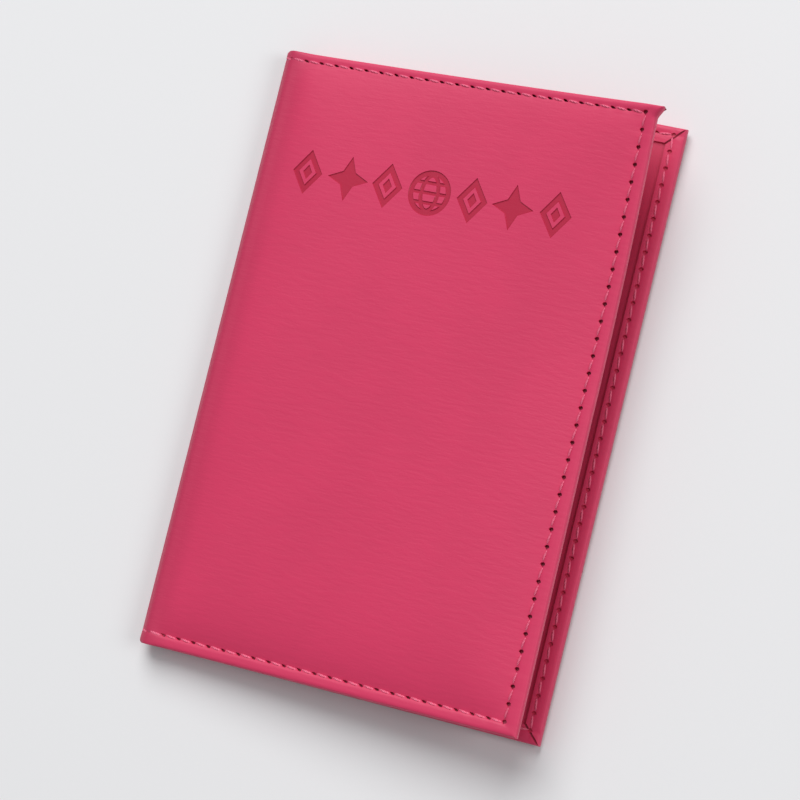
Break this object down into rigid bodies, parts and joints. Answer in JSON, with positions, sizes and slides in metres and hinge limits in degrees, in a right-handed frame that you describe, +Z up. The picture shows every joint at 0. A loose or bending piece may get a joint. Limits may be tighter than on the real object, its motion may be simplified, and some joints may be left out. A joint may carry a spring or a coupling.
{
  "type": "passport holder",
  "caption": "Slim pink leather passport holder in two padded, stitched halves that open on a soft spine, with pocket flaps and card slots inside.",
  "frame": {"origin": "centre of the bounding box in plan, on the plane that the closed holder's back rests on", "axes": "+X from the spine to the free edges, +Y along the spine to the top of the cover, +Z up out of the back cover"},
  "size_m": [0.0952, 0.14, 0.0169],
  "materials": {
    "cover_leather": "smooth satin PU leather, deep pink",
    "pocket_leather": "thin smooth PU leather, deep pink",
    "thread": "pink polyester sewing thread",
    "lining": "fine woven lining, pink",
    "foam": "thin foam padding, cream",
    "board": "grey paperboard"
  },
  "bodies": {
    "back_cover": {"back_cover_leather": "cover_leather", "back_cover_foam_padding": "foam", "back_cover_stiffener_board": "board", "back_cover_lining": "lining", "back_cover_pocket_flap": "pocket_leather", "back_cover_hem_top": "cover_leather", "back_cover_hem_side": "cover_leather", "back_cover_hem_bottom": "cover_leather", "back_cover_outer_thread": "thread", "back_cover_inner_thread": "thread"},
    "spine": {"spine_leather": "cover_leather", "spine_lining": "lining", "spine_hem_top": "cover_leather", "spine_hem_bottom": "cover_leather", "spine_outer_thread_top": "thread", "spine_outer_thread_bottom": "thread", "spine_inner_thread_top": "thread", "spine_inner_thread_bottom": "thread"},
    "front_cover": {"front_cover_leather": "cover_leather", "front_cover_foam_padding": "foam", "front_cover_stiffener_board": "board", "front_cover_lining": "lining", "front_cover_pocket_flap": "pocket_leather", "front_cover_hem_top": "cover_leather", "front_cover_hem_side": "cover_leather", "front_cover_hem_bottom": "cover_leather", "front_cover_outer_thread": "thread", "front_cover_inner_thread": "thread", "front_cover_card_panel_upper": "pocket_leather", "front_cover_card_panel_lower": "pocket_leather", "front_cover_card_thread_lower": "thread", "front_cover_card_thread_left": "thread", "front_cover_card_thread_right": "thread"}
  },
  "joints": [
    {"name": "back_crease", "type": "hinge", "parent": "back_cover", "child": "spine", "pos_m": [-0.04657, 0, 0.0008], "axis": [0, -1, 0], "range_deg": [-3, 85.4]},
    {"name": "front_crease", "type": "hinge", "parent": "spine", "child": "front_cover", "pos_m": [-0.04686, 0, 0.00619], "axis": [0, -1, 0], "range_deg": [-3, 85.4]}
  ],
  "couplings": [
    {"joint": "front_crease", "follows": "back_crease", "ratio": 1}
  ]
}
